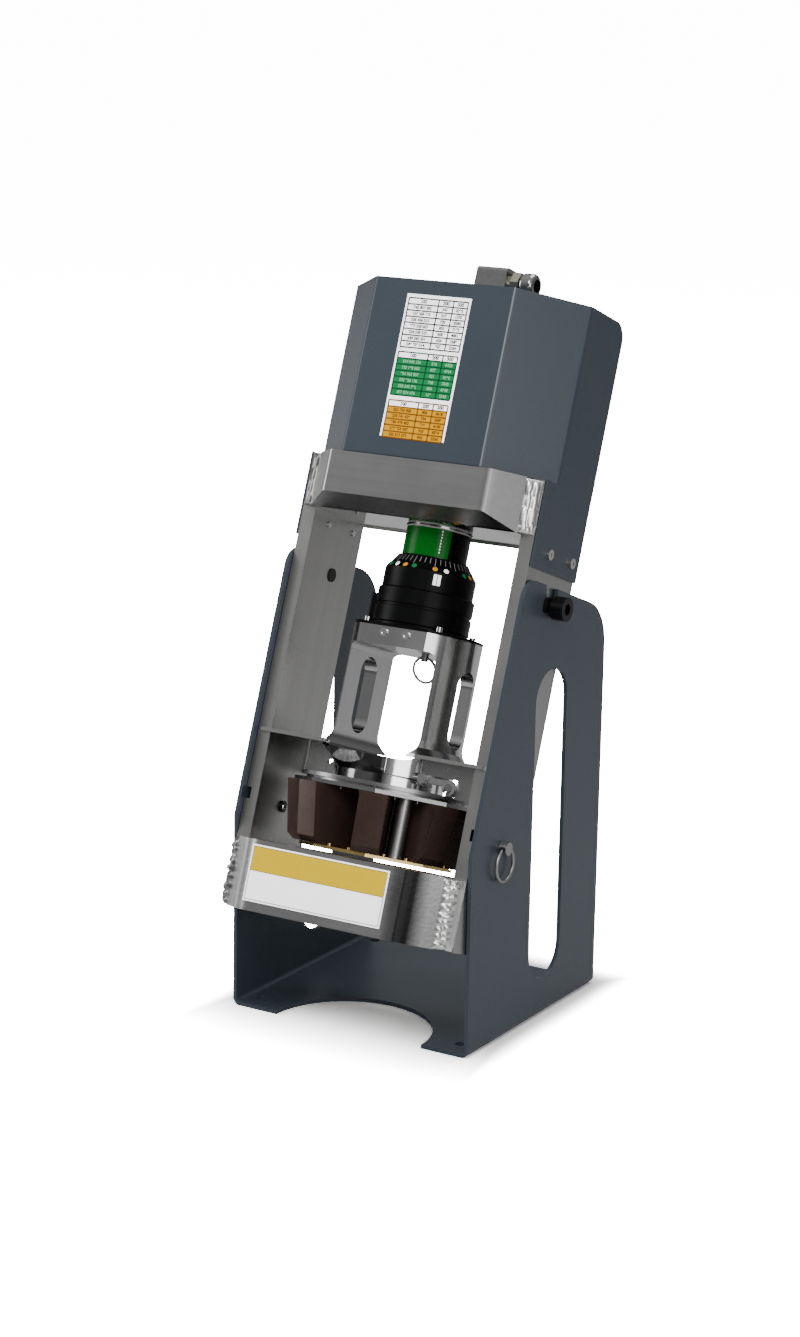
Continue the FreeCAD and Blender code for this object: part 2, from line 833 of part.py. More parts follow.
def hose_window():
    reach = 2 * pusher_radius
    window = brick(-window_half, window_half, -reach, reach, window_bottom, window_top)
    window = window.makeFillet(window_top_radius, edges_along(window, BACK, [
        Vec(-window_half, 0, window_top), Vec(window_half, 0, window_top)], "y"))
    return window.makeFillet(window_bottom_radius, edges_along(window, BACK, [
        Vec(-window_half, 0, window_bottom), Vec(window_half, 0, window_bottom)], "y"))


def make_pusher():
    ledge = base_lip + wing_thickness
    waist = (pusher_radius * 3 + base_flare_radius) / 4
    body = turned([(0, base_lip), (base_flare_radius, base_lip), (base_flare_radius, ledge),
                   (waist, (ledge + base_flare_top) / 2), (pusher_radius, base_flare_top),
                   (pusher_radius, pusher_top), (0, pusher_top)])
    body = body.cut(front_flat(window_top, pusher_top + pusher_flange)).cut(hose_window())
    reach = 2 * pusher_radius
    centre = Vec(-reach, 0, (leg_slot_top + leg_slot_bottom) / 2)
    body = body.cut(obround_prism(leg_slot_width, leg_slot_top - leg_slot_bottom, centre, ACROSS, 2 * reach))
    body = body.cut(rod(tenon_radius, Vec(0, 0, pusher_top - tenon_length), Vec(0, 0, pusher_top + 1)))
    body = body.cut(rod(release_radius, Vec(release_x, 0, window_top - 1),
                        Vec(release_x, 0, pusher_top - tenon_length)))
    plate_top = pusher_top + cap_plate_thickness
    plate = tube(pusher_radius, ram_radius, pusher_top, plate_top)
    plate = plate.cut(front_flat(pusher_top, plate_top))
    for seat_point, direction in set_screw_seats() + cap_screw_seats():
        hole = rod(small_screw_radius, seat_point - direction * small_screw_length, seat_point + direction)
        body = body.cut(hole)
        plate = plate.cut(hole)
    save("pusher", body)
    save("pusher_cap_plate", plate)


def make_pusher_base():
    """The flared foot under the legs: a thin lip on ribs, cleared beside each latch."""
    ledge = base_lip - lip_thickness
    base = turned([(0, pusher_bottom), (base_radius, pusher_bottom), (base_radius, base_cone_bottom),
                   (base_lip_radius, ledge), (base_lip_radius, base_lip), (0, base_lip)])
    base = base.cut(hose_window())
    base = base.cut(rod(hose_bore_radius, Vec(0, 0, pusher_bottom - 1), Vec(0, 0, base_lip + 1)))
    far = 2 * base_lip_radius
    pocket = brick(pocket_floor, far, -pocket_half_width, pocket_half_width, base_cone_bottom, ledge)
    for cut in ring_of(pocket, rib_count, first_die_angle):
        base = base.cut(cut)
    angles = [math.radians(clear_start + share * (clear_end - clear_start)) for share in (0.0, 0.5, 1.0)]
    corners = [(far * math.cos(a), far * math.sin(a)) for a in angles]
    sector = prism([(0, 0)] + corners, pusher_bottom, base_lip)
    sector = sector.cut(rod(clear_radius, Vec(0, 0, pusher_bottom), Vec(0, 0, base_lip)))
    for cut in ring_of(sector, 2):
        base = base.cut(cut)
    save("pusher_base", base)


def set_screw_seats():
    """Where the screws on the pusher's flat sit, and the way their heads point."""
    level = pusher_top - set_screw_drop
    return [(Vec(x, pusher_flat, level), -BACK) for x in set_screw_places]


def cap_screw_seats():
    """Where the screws on the cap plate sit, and the way their heads point."""
    top = pusher_top + cap_plate_thickness
    angles = [math.radians(side + turn) for side in (0, 180) for turn in (-cap_screw_angle, cap_screw_angle)]
    return [(Vec(cap_screw_circle * math.cos(a), cap_screw_circle * math.sin(a), top), UP) for a in angles]


def make_pusher_screws():
    groups = [("pusher_set_screws", set_screw_seats(), set_screw_head_radius, set_screw_head_height),
              ("pusher_cap_screws", cap_screw_seats(), cap_screw_head_radius, cap_screw_head_height)]
    for name, seats, head_radius, head_height in groups:
        save(name, *[socket_screw(small_screw_radius, head_radius, point, direction, small_screw_length,
                                  head_height, head_radius * 0.55) for point, direction in seats])


make_pusher()
make_pusher_base()
make_pusher_screws()


# Release plunger under the flange, with its ring hanging straight down
def make_release():
    top = pusher_top - tenon_length - loose
    bottom = top - release_length
    plunger = rod(release_radius - running, Vec(release_x, 0, bottom), Vec(release_x, 0, top))
    eye_level = bottom + release_eye_rise
    sagitta = release_ring_radius - math.sqrt(release_ring_radius ** 2 - release_radius ** 2)
    hole = release_ring_wire + sagitta + loose
    plunger = plunger.cut(rod(hole, Vec(release_x - 8, 0, eye_level), Vec(release_x + 8, 0, eye_level)))
    save("release_plunger", plunger)
    eye = head_point(release_x, 0, eye_level)
    ring = Part.makeTorus(release_ring_radius, release_ring_wire, eye - UP * release_ring_radius, BACK)
    save("release_ring", ring, tilted=False)


make_release()


# Guide wings on the pusher's lip
def make_wings():
    tongue_back = plate_front - loose
    plan = [(wing_start, wing_tongue_front), (wing_tongue_reach, wing_tongue_front),
            (wing_tongue_reach, tongue_back), (inside_half - loose, tongue_back),
            (inside_half - loose, wing_half_depth), (wing_start, wing_half_depth)]
    wing = prism(plan, base_lip, base_lip + wing_thickness)
    wing = wing.cut(rod(base_flare_radius, Vec(0, 0, base_lip - 1), Vec(0, 0, base_lip + wing_thickness + 1)))
    largest = sorted(wing.Solids, key=lambda solid: solid.Volume)[-1]
    save("right_guide_wing", largest)
    save("left_guide_wing", mirrored(largest))


make_wings()


# Die cage
ring_bottom = die_top + loose
disc_bottom = pusher_bottom - cage_disc_thickness
floor_top = die_bottom - loose


def make_cage():
    disc = tube(cage_disc_radius, cage_bore_radius, pusher_bottom - cage_disc_edge, pusher_bottom)
    step = tube(cage_step_radius, cage_bore_radius, disc_bottom, pusher_bottom - cage_disc_edge)
    save("cage_top_plate", disc.fuse(step))
    ring = prism(polygon_plan(die_count, cage_ring_radius, first_die_angle), ring_bottom, disc_bottom)
    ring = ring.cut(rod(cage_bore_radius, Vec(0, 0, ring_bottom - 1), Vec(0, 0, disc_bottom + 1)))
    save("cage_retainer", ring)
    base = prism(polygon_plan(die_count, cage_floor_radius, first_die_angle),
                 floor_top - cage_floor_thickness, floor_top)
    base = base.cut(rod(cage_bore_radius, Vec(0, 0, floor_top - 10), Vec(0, 0, floor_top + 1)))
    save("cage_floor_plate", base)
    post = rod(post_radius, Vec(post_circle, 0, floor_top), Vec(post_circle, 0, ring_bottom))
    save("cage_posts", *ring_of(post, post_count, 45.0))
    heads = []
    step = 360.0 / die_count
    for side in (-1, 1):
        low = rod(cage_screw_radius, Vec(cage_screw_circle, 0, floor_top),
                  Vec(cage_screw_circle, 0, floor_top + cage_screw_height))
        high = rod(cage_screw_radius, Vec(cage_screw_circle, 0, ring_bottom - cage_screw_height),
                   Vec(cage_screw_circle, 0, ring_bottom))
        angle = first_die_angle + step / 2 + side * cage_screw_spread
        heads += ring_of(low, die_count, angle) + ring_of(high, die_count, angle)
    save("cage_screws", *heads)


make_cage()


def make_dies():
    """Each die is cut to the bowl's cone where it closes, then drawn back to its open place."""
    half_step = math.radians(180.0 / die_count)
    slope = math.tan(half_step)
    gap = die_gap / math.cos(half_step)
    tip = closed_crimp_radius * 0.8
    wedge_end = (die_half_width + gap) / slope
    outer = 2 * bowl_mouth_radius
    plan = [(tip, slope * tip - gap), (wedge_end, die_half_width), (outer, die_half_width),
            (outer, -die_half_width), (wedge_end, -die_half_width), (tip, gap - slope * tip)]
    low = die_bottom - ram_travel
    high = die_top - ram_travel
    blank = prism(plan, low, high)
    edge = low + die_bevel
    cone = turned([(0, low), (bowl_radius_at(low) - loose - die_bevel, low),
                   (bowl_radius_at(edge) - loose, edge), (bowl_radius_at(high) - loose, high), (0, high)])
    die = blank.common(cone)
    die = die.cut(rod(closed_crimp_radius, Vec(0, 0, low - 1), Vec(0, 0, high + 1)))
    die.translate(Vec(ram_travel * taper, 0, ram_travel))
    for number, copy in enumerate(ring_of(die, die_count, first_die_angle), start=1):
        save("die_" + str(number), copy)


make_dies()


# Latches: one under each wing, a bracket, a hook that swings up on it and a catch on the cage
def both_latches(shape):
    """A latch piece at the front right, and the same piece turned round to the rear left."""
    return ring_of(shape, 2)


def make_latch_brackets():
    front = latch_v + latch_thickness / 2
    back = front + latch_thickness
    bracket = brick(bracket_start, bracket_end, front, back, bracket_bottom, base_lip)
    feet = ((bracket_start, bracket_foot_end, bracket_foot_bottom),
            (bracket_far_foot, bracket_end, bracket_far_foot_bottom))
    for x0, x1, low in feet:
        bracket = bracket.fuse(brick(x0, x1, front, back, low, bracket_bottom))
    bracket = bracket.removeSplitter()
    pivot = Vec(latch_pivot_x, back, latch_pivot_level)
    bracket = bracket.cut(rod(latch_pin_radius - running, pivot - BACK * latch_thickness, pivot))
    screws = []
    for x, w in bracket_screw_places:
        seat_point = Vec(x, front + bracket_screw_head_height, w)
        screws += both_latches(socket_screw(
            bracket_screw_radius, bracket_screw_head_radius, seat_point, -BACK, back - seat_point.y,
            bracket_screw_head_height, bracket_screw_head_radius * 0.55))
        shank_end = seat_point + BACK * latch_thickness
        head_end = seat_point - BACK * latch_thickness
        bracket = bracket.cut(rod(bracket_screw_radius, seat_point - BACK, shank_end))
        bracket = bracket.cut(rod(bracket_screw_head_radius, head_end, seat_point))
    save("latch_brackets", *both_latches(bracket))
    save("bracket_screws", *screws)


def make_latch_hooks():
    """The hook's slot is an arc about the pivot, so it lifts clear of the catch pin."""
    half = latch_thickness / 2
    pivot = Vec(latch_pivot_x, latch_v, latch_pivot_level)
    pin = Vec(latch_pin_x, latch_v, latch_pin_level)
    reach = latch_pin_radius + loose
    screw = rod(latch_pin_radius - running, pivot - BACK * (half + loose), pivot + BACK * (3 * half))
    head_seat = pivot - BACK * (half + loose)
    screw = screw.fuse(rod(latch_pin_radius + 1.2, head_seat - BACK * half, head_seat))
    save("latch_screws", *both_latches(screw))
    hook = rod(hook_radius, pin - BACK * half, pin + BACK * half)
    hook = hook.fuse(rod(hook_eye_radius, pivot - BACK * half, pivot + BACK * half))
    hook = hook.fuse(brick(latch_pivot_x, latch_pin_x, latch_v - half, latch_v + half,
                           latch_pivot_level - hook_arm_half, latch_pivot_level + hook_arm_half))
    hook = hook.cut(rod(reach, pin - BACK * latch_thickness, pin + BACK * latch_thickness))
    swing = (pin - pivot).Length
    slot = rod(swing + reach, pivot - BACK * latch_thickness, pivot + BACK * latch_thickness)
    slot = slot.cut(rod(swing - reach, pivot - BACK * latch_thickness, pivot + BACK * latch_thickness))
    below = brick(latch_pin_x - hook_radius, latch_pin_x + hook_radius, latch_v - half, latch_v + half,
                  latch_pin_level - 2 * hook_radius, latch_pin_level)
    hook = hook.cut(slot.common(below))
    hook = hook.cut(rod(latch_pin_radius, pivot - BACK * latch_thickness, pivot + BACK * latch_thickness))
    for name, copy in zip(("right_latch_hook", "left_latch_hook"), both_latches(hook)):
        save(name, copy)


def make_latch_catches():
    half = latch_thickness / 2
    post_front = latch_v + half + loose
    lug = brick(latch_pin_x - catch_post_half, latch_pin_x + catch_post_half, post_front,
                post_front + catch_post_depth, pusher_bottom, latch_pin_level + catch_post_rise)
    pin = rod(latch_pin_radius, Vec(latch_pin_x, latch_v - half, latch_pin_level),
              Vec(latch_pin_x, post_front + 1, latch_pin_level))
    save("latch_catches", *both_latches(lug.fuse(pin)))


make_latch_brackets()
make_latch_hooks()
make_latch_catches()


# Inlet fitting: stem, block elbow, hexagon and coupler half
def make_inlet():
    """Distances along the fitting are from the ram axis."""
    cap_top = barrel_top + cap_thickness
    middle = Vec(inlet_x, 0, elbow_level)
    half = elbow_half_width
    block = brick(inlet_x - elbow_half_length, inlet_x + elbow_half_length, -half, half,
                  elbow_level - half, elbow_level + half)
    block = block.makeFillet(elbow_edge_radius, edges_along(block, ACROSS, [
        Vec(0, v, elbow_level + w) for v in (-half, half) for w in (-half, half)], "x"))
    stem = rod(stem_radius, Vec(inlet_x, 0, cap_top), middle)
    end = middle + ACROSS * coupler_end
    elbow = block.fuse(stem).cut(rod(port_radius, Vec(inlet_x, 0, cap_top - 1), middle))
    save("inlet_elbow", elbow.cut(rod(port_radius, middle, end)))
    face = Vec(inlet_x + elbow_half_length, 0, elbow_level)
    neck = rod(inlet_neck_radius, face, Vec(inlet_neck_end, 0, elbow_level))
    corner = inlet_hex_flats / math.sqrt(3)
    hexagon = Part.makePolygon([Vec(inlet_neck_end, corner * math.cos(math.radians(60 * i)),
                                    elbow_level + corner * math.sin(math.radians(60 * i))) for i in range(7)])
    hexagon = Part.Face(hexagon).extrude(ACROSS * (inlet_hex_end - inlet_neck_end))
    save("inlet_adapter", hexagon.fuse(neck).cut(rod(port_radius, middle, end)))
    coupler = rod(coupler_radius, Vec(inlet_hex_end, 0, elbow_level), Vec(coupler_end, 0, elbow_level))
    coupler = coupler.makeFillet(coupler_edge_radius, coupler.Edges[:1] + coupler.Edges[2:])
    coupler = coupler.cut(rod(port_radius, middle, end))
    bore_start = Vec(coupler_end - inlet_bore_length, 0, elbow_level)
    save("inlet_coupler", coupler.cut(rod(inlet_bore_radius, bore_start, end)))


make_inlet()
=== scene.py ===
import math
import random

import bpy
from mathutils import Matrix, Vector


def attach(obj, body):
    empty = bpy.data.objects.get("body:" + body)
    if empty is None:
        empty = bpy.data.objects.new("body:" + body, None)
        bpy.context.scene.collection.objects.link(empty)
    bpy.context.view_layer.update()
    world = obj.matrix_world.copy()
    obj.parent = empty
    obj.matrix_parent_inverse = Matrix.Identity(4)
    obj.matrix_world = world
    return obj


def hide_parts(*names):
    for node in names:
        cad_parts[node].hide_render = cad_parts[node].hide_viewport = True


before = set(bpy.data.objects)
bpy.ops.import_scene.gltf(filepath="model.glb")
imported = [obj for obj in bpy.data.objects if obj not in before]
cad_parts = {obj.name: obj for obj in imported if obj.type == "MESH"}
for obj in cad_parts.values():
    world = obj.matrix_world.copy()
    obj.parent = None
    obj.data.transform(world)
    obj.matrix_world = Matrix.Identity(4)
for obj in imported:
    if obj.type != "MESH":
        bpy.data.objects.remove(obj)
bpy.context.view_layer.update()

scene = bpy.context.scene
cam_place = Vector((1.2678, -2.1293, 0.91025))
cam_yaw, cam_pitch, cam_roll = 0.537, 0.2374, 0.0192
cam_look = Vector((-math.sin(cam_yaw) * math.cos(cam_pitch), math.cos(cam_yaw) * math.cos(cam_pitch),
                   -math.sin(cam_pitch)))
level_right = Vector((math.cos(cam_yaw), math.sin(cam_yaw), 0))
level_up = level_right.cross(cam_look)
cam_right = level_right * math.cos(cam_roll) + level_up * math.sin(cam_roll)
cam_up = level_up * math.cos(cam_roll) - level_right * math.sin(cam_roll)
cam_turn = Matrix((cam_right, cam_up, -cam_look)).transposed().to_4x4()
cam_data = bpy.data.cameras.new("camera")
cam_data.sensor_fit = "HORIZONTAL"
cam_data.sensor_width = 36.0
cam_data.lens = 133.08
cam_data.shift_x = -0.0277
cam_data.shift_y = -0.0195
cam_data.clip_end = 200.0
camera = bpy.data.objects.new("camera", cam_data)
camera.matrix_world = Matrix.Translation(cam_place) @ cam_turn
scene.collection.objects.link(camera)
scene.camera = camera


# Lamps: four soft boxes, as in a small studio. The key is high in front, one stands at each side, and
# one behind lights the upper faces.
def lamp(name, place, width, height, power):
    """A soft lamp at a place, facing the middle of the machine."""
    data = bpy.data.lights.new(name, "AREA")
    data.shape = "RECTANGLE"
    data.size = width
    data.size_y = height
    data.energy = power
    obj = bpy.data.objects.new(name, data)
    machine_middle = Vector((0.0, -0.03, 0.3))
    aim = (machine_middle - Vector(place)).to_track_quat("-Z", "Y").to_matrix().to_4x4()
    obj.matrix_world = Matrix.Translation(place) @ aim
    scene.collection.objects.link(obj)


lamp("key_lamp", (0.3, -1.9, 2.4), 1.2, 1.0, 33.0)
lamp("left_lamp", (-2.1, -0.9, 1.2), 1.0, 1.4, 20.0)
lamp("top_lamp", (0.1, 0.9, 2.4), 1.4, 1.4, 24.0)
lamp("right_lamp", (1.74, -1.46, 1.08), 1.3, 1.2, 17.0)


# Room: what the metal reflects is a dim room, brighter overhead, with a dark patch in front of the
# machine. What the camera sees behind the machine is plain white.
class Field:
    """A number or colour in a material. Arithmetic on it adds the nodes that work it out."""

    def __init__(self, tree, socket):
        self.tree = tree
        self.socket = socket

    def feed(self, target, value):
        """Link a Field to a socket, or set the socket to a plain value."""
        if isinstance(value, Field):
            self.tree.links.new(value.socket, target)
        else:
            target.default_value = value

    def node(self, kind, settings, sockets, output=0):
        """Any other node: its type, its settings, what its sockets take, and the output that is wanted."""
        made = self.tree.nodes.new(kind)
        for key, value in settings.items():
            setattr(made, key, value)
        for key, value in sockets.items():
            self.feed(made.inputs[key], value)
        return Field(self.tree, made.outputs[output])

    def __add__(self, other):
        return self.node("ShaderNodeMath", {"operation": "ADD"}, {0: self, 1: other})

    def __sub__(self, other):
        return self.node("ShaderNodeMath", {"operation": "SUBTRACT"}, {0: self, 1: other})

    def __rsub__(self, other):
        return self.node("ShaderNodeMath", {"operation": "SUBTRACT"}, {0: other, 1: self})

    def __mul__(self, other):
        return self.node("ShaderNodeMath", {"operation": "MULTIPLY"}, {0: self, 1: other})

    def __gt__(self, other):
        return self.node("ShaderNodeMath", {"operation": "GREATER_THAN"}, {0: self, 1: other})

    def __lt__(self, other):
        return self.node("ShaderNodeMath", {"operation": "LESS_THAN"}, {0: self, 1: other})

    def __abs__(self):
        return self.node("ShaderNodeMath", {"operation": "ABSOLUTE"}, {0: self})

    __radd__ = __add__
    __rmul__ = __mul__


def grey(level):
    return (level, level, level, 1.0)


def mix(mask, low, high):
    """A colour: low where the mask is 0 and high where it is 1. Sockets 6 and 7 are the node's colours."""
    return mask.node("ShaderNodeMix", {"data_type": "RGBA"}, {0: mask, 6: low, 7: high}, 2)


def ramp(value, start, end):
    """A mask that is 0 up to start and 1 from end on."""
    return value.node("ShaderNodeMapRange", {}, {"Value": value, "From Min": start, "From Max": end})


def axis_of(place, axis):
    """One of X, Y and Z of a place."""
    return place.node("ShaderNodeSeparateXYZ", {}, {"Vector": place}, axis)


def seen_by_camera(place):
    """1 where the camera sees the surface itself, 0 where it is lit or reflected."""
    return place.node("ShaderNodeLightPath", {}, {}, "Is Camera Ray")


world = bpy.data.worlds.new("studio")
world.use_nodes = True
background = world.node_tree.nodes["Background"]
toward = world.node_tree.nodes.new("ShaderNodeTexCoord").outputs["Generated"]
toward = Field(world.node_tree, toward)
walls = (0.07, 0.07, 0.073, 1.0)
ceiling = grey(0.7)
dark_patch = (0.03, 0.03, 0.032, 1.0)
backdrop = grey(20.0)
below_horizon, overhead = -0.1, 0.9
room = mix(ramp(axis_of(toward, "Z"), below_horizon, overhead), walls, ceiling)
patch_way = (0.12, -0.97, 0.2)
patch_edge, patch_core = 0.93, 0.985
near_patch = toward.node("ShaderNodeVectorMath", {"operation": "DOT_PRODUCT"}, {0: toward, 1: patch_way},
                         "Value")
room = mix(ramp(near_patch, patch_edge, patch_core), room, dark_patch)
toward.feed(background.inputs["Color"], mix(seen_by_camera(toward), room, backdrop))
background.inputs["Strength"].default_value = 0.8
scene.world = world


# Floor: a roll of white paper under the machine. The camera sees it overexposed, and less so close round
# the stand's foot, where a soft painted shadow lies. What lights and mirrors in the metal is a plain grey
# instead, brighter far out to the left.
STAND_HALF = 0.1185
STAND_REACH = 0.1125
PAPER_HALF = 60


def material(name, look_of=None, **constants):
    """A material from constants of the surface shader, and a function that gives what varies."""
    made = bpy.data.materials.new(name)
    made.use_nodes = True
    tree = made.node_tree
    surface = tree.nodes["Principled BSDF"]
    for key, value in constants.items():
        surface.inputs[key.replace("_", " ")].default_value = value
    if look_of:
        place = Field(tree, tree.nodes.new("ShaderNodeTexCoord").outputs["Object"])
        for key, value in look_of(place).items():
            place.feed(surface.inputs[key], value)
    return made


def larger(first, second):
    return first.node("ShaderNodeMath", {"operation": "MAXIMUM"}, {0: first, 1: second})


def floor_look(place):
    """White paper; a painted shadow of the stand fades over 42 mm behind it, sooner beside it and later in
    front.
    """
    x = axis_of(place, "X")
    y = axis_of(place, "Y")
    fade = 0.042
    beside_rate, before_rate = 1.4, 0.26
    before_start = 0.07
    beside = (abs(x) - STAND_HALF) * beside_rate
    before = (before_start - STAND_REACH - y) * before_rate
    away = ramp(larger(larger(beside, before), y - STAND_REACH), 0.0, fade)
    shaded, overexposed = grey(1.2), grey(34.0)
    paper = mix(away * away * away, shaded, overexposed)
    far_left = x < -1.2
    ground = mix(far_left, grey(0.52), grey(1.5))
    return {"Base Color": mix(seen_by_camera(place), ground, paper)}


floor_mesh = bpy.data.meshes.new("floor")
floor_mesh.from_pydata([(-PAPER_HALF, -PAPER_HALF, 0), (PAPER_HALF, -PAPER_HALF, 0),
                        (PAPER_HALF, PAPER_HALF, 0), (-PAPER_HALF, PAPER_HALF, 0)], [], [(0, 1, 2, 3)])
floor = bpy.data.objects.new("floor", floor_mesh)
scene.collection.objects.link(floor)
floor_mesh.materials.append(material("floor_white", floor_look, Roughness=1.0, Specular_IOR_Level=0.0))


# Stand: one sheet of 3.5 mm steel, cut out and bent up at both sides, with the head hung between them
# and its floor bolted to the bench. It is powder-coated in satin blue-grey, with a faint orange peel.
HEAD_LEAN = math.radians(20.0)


def rgb(r, g, b):
    return (r, g, b, 1.0)


def span(mask, low, high):
    """A number: low where the mask is 0 and high where it is 1."""
    return mask * (high - low) + low


def noise(place, scale, detail=2.0, stretch=(1.0, 1.0, 1.0), lean=HEAD_LEAN):
    """Smooth noise over the piece; a small stretch draws it out along one of the head's own directions."""
    spot = place.node("ShaderNodeMapping", {}, {"Vector": place, "Rotation": (lean, 0.0, 0.0)})
    spot = place.node("ShaderNodeMapping", {}, {"Vector": spot, "Scale": stretch})
    return place.node("ShaderNodeTexNoise", {}, {"Vector": spot, "Scale": scale, "Detail": detail})


def bump(height, strength, distance):
    return height.node("ShaderNodeBump", {}, {"Height": height, "Strength": strength, "Distance": distance})


def paint(look, *names):
    """These CAD nodes take this material."""
    for name in names:
        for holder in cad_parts[name].material_slots:
            holder.material = look


def paint_look(place):
    """Satin paint: a fine orange peel, and clouds that are a little paler and duller."""
    peel = noise(place, 900.0, lean=0.0)
    cloud = noise(place, 9.0, 3.0, lean=0.0)
    return {"Base Color": mix(cloud, rgb(0.038, 0.051, 0.067), rgb(0.048, 0.063, 0.081)),
            "Roughness": span(cloud, 0.30, 0.42), "Normal": bump(peel, 0.06, 0.0004)}


paint(material("blue_grey_paint", paint_look, Specular_IOR_Level=0.35, Coat_Weight=0.1, Coat_Roughness=0.2),
      "stand_shell")


# Side plates: two half-inch steel plates that carry both blocks and hang in the stand on a bolt each.
# They are ground along their length, with dull patches, and milled edges that catch the light.
MM = 0.001
PIVOT = Vector((0.0, 13.0, 364.0)) * MM
PIVOT_BEHIND_MIDDLE = 5.0 * MM
HEAD = (Matrix.Translation(PIVOT) @ Matrix.Rotation(-HEAD_LEAN, 4, "X")
        @ Matrix.Translation((0.0, -PIVOT_BEHIND_MIDDLE, 0.0)))
ACROSS, BACK, UP = "X", "Y", "Z"


def head_axis(place, axis):
    """One of the head's own coordinates in metres, from the middle of the plates at the pivots' level."""
    spot = place.node("ShaderNodeMapping", {}, {"Vector": place, "Rotation": (HEAD_LEAN, 0.0, 0.0),
                                                "Location": HEAD.inverted().translation})
    return axis_of(spot, axis)


def toned(mask, tone, dull, share=1.0):
    """A share of the tone where the mask is 1, and a duller one where it is 0."""
    return mix(mask, rgb(*(c * share * dull for c in tone)), rgb(*(c * share for c in tone)))


def milled(name, tone, along=(1.0, 1.0, 0.03), rough=(0.22, 0.42), lines=260.0, depth=0.00006, dull=0.72,
           painted_reflection_bands=(), smooth=None):
    """Milled steel. A painted reflection band takes another share of the tone, and smooth is a stretch with a
    finer finish; both say along which of the head's axes, where they begin and where they are full."""
    def look(place):
        grain = noise(place, lines, 3.0, along)
        cloud = noise(place, 14.0, 4.0)
        mixed = grain * 0.55 + cloud * 0.45
        colour = toned(mixed, tone, dull)
        roughness = span(cloud, *rough)
        if smooth:
            roughness = roughness * (1.0 - 0.7 * ramp(head_axis(place, smooth[0]), *smooth[1:]))
        for axis, start, end, share in painted_reflection_bands:
            colour = mix(ramp(head_axis(place, axis), start, end), colour, toned(mixed, tone, dull, share))
        return {"Base Color": colour, "Roughness": roughness, "Normal": bump(grain, 0.35, depth)}
    return material(name, look, Metallic=1.0)


def soften(width, *names):
    """A small rounding on the sharp edges of these CAD nodes, in millimetres."""
    for name in names:
        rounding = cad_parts[name].modifiers.new("edge_rounding", "BEVEL")
        rounding.width = width * MM
        rounding.segments = 2
        rounding.limit_method = "ANGLE"
        rounding.angle_limit = math.radians(40)
        rounding.harden_normals = True
        rounding.use_clamp_overlap = True


paint(milled("plate_steel", (0.44, 0.44, 0.43), rough=(0.24, 0.4)), "left_side_plate", "right_side_plate")
soften(0.7, "left_side_plate", "right_side_plate")

# Head block: a thick steel block between the plates' upper ends, milled across and welded in at its
# corners, which the cylinder stands in. Its right chamfer is toned darker, a painted reflection, and its
# underside has a smoother finish.
FROM_SIDE_TO_SIDE = (0.03, 1.0, 1.0)
paint(milled("block_steel", (0.40, 0.40, 0.40), FROM_SIDE_TO_SIDE, (0.24, 0.36),
             painted_reflection_bands=((ACROSS, 0.072, 0.084, 0.5),), smooth=(UP, 0.0530, 0.0522)), "head_block")
soften(0.7, "head_block")

# Die bowl: a thick steel block between the plates' lower ends, milled bright, welded in as the other is
# and bored to the taper that closes the dies. The dark and the pale stretch at the right of its front
# are painted reflections.
paint(milled("bowl_steel", (0.64, 0.64, 0.64), FROM_SIDE_TO_SIDE, (0.18, 0.3), 320.0, 0.00014, 0.5,
             painted_reflection_bands=((ACROSS, 0.0713, 0.0775, 0.03), (ACROSS, 0.0855, 0.0955, 0.55))), "die_bowl")
soften(0.7, "die_bowl")

# Rear bar: a flat bar of pale aluminium with a matt finish, fixed across the back of the plates below
# the head block.
paint(milled("pale_aluminium", (0.99, 0.98, 0.96), FROM_SIDE_TO_SIDE, (0.42, 0.58)), "rear_bar")


# Weld beads: steel laid by hand up each corner between plates and blocks, in rows of overlapping lumps.
# They are bright as the arc left them. The left-hand side is toned darker, a painted shade.
PLATE_INSIDE = 101.8
PLATE_FRONT, PLATE_BACK = -42.25, 42.25
BLOCK_FRONT_SIDE = -50.9
BOWL_SIDE = 57.5
BEAD_WIDTH = 11.7
BLOCK_LEVELS = (52.8, 98.3)
BOWL_LEVELS = (-298.5, -240.0)
LONG_LUMPS = {"rows": (0.27, 0.74), "tall": (7.0, 10.0), "pitch": (10.0, 13.5), "high": (1.0, 1.5),
              "body": 1.2}
SHORT_LUMPS = {"rows": (0.19, 0.47), "tall": (2.4, 4.4), "pitch": (4.2, 7.8), "high": (1.0, 3.0),
               "body": 2.4}


def head(x, v, w):
    """A point given in millimetres across, back and up the head."""
    return HEAD @ (Vector((x, v, w)) * MM)


def joined(parts):
    """Several meshes in one."""
    verts = []
    faces = []
    for more, loops in parts:
        base = len(verts)
        verts += more
        faces += [tuple(base + n for n in loop) for loop in loops]
    return verts, faces


def piece(name, mesh_parts, body, look, smooth=False):
    """A new mesh that rides on one CAD body and takes its finish from one material."""
    verts, faces = mesh_parts
    mesh = bpy.data.meshes.new(name)
    mesh.from_pydata([tuple(v) for v in verts], [], faces)
    mesh.validate()
    mesh.update()
    for face in mesh.polygons:
        face.use_smooth = smooth
    mesh.materials.append(look)
    obj = bpy.data.objects.new(name, mesh)
    scene.collection.objects.link(obj)
    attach(obj, body)
    return obj


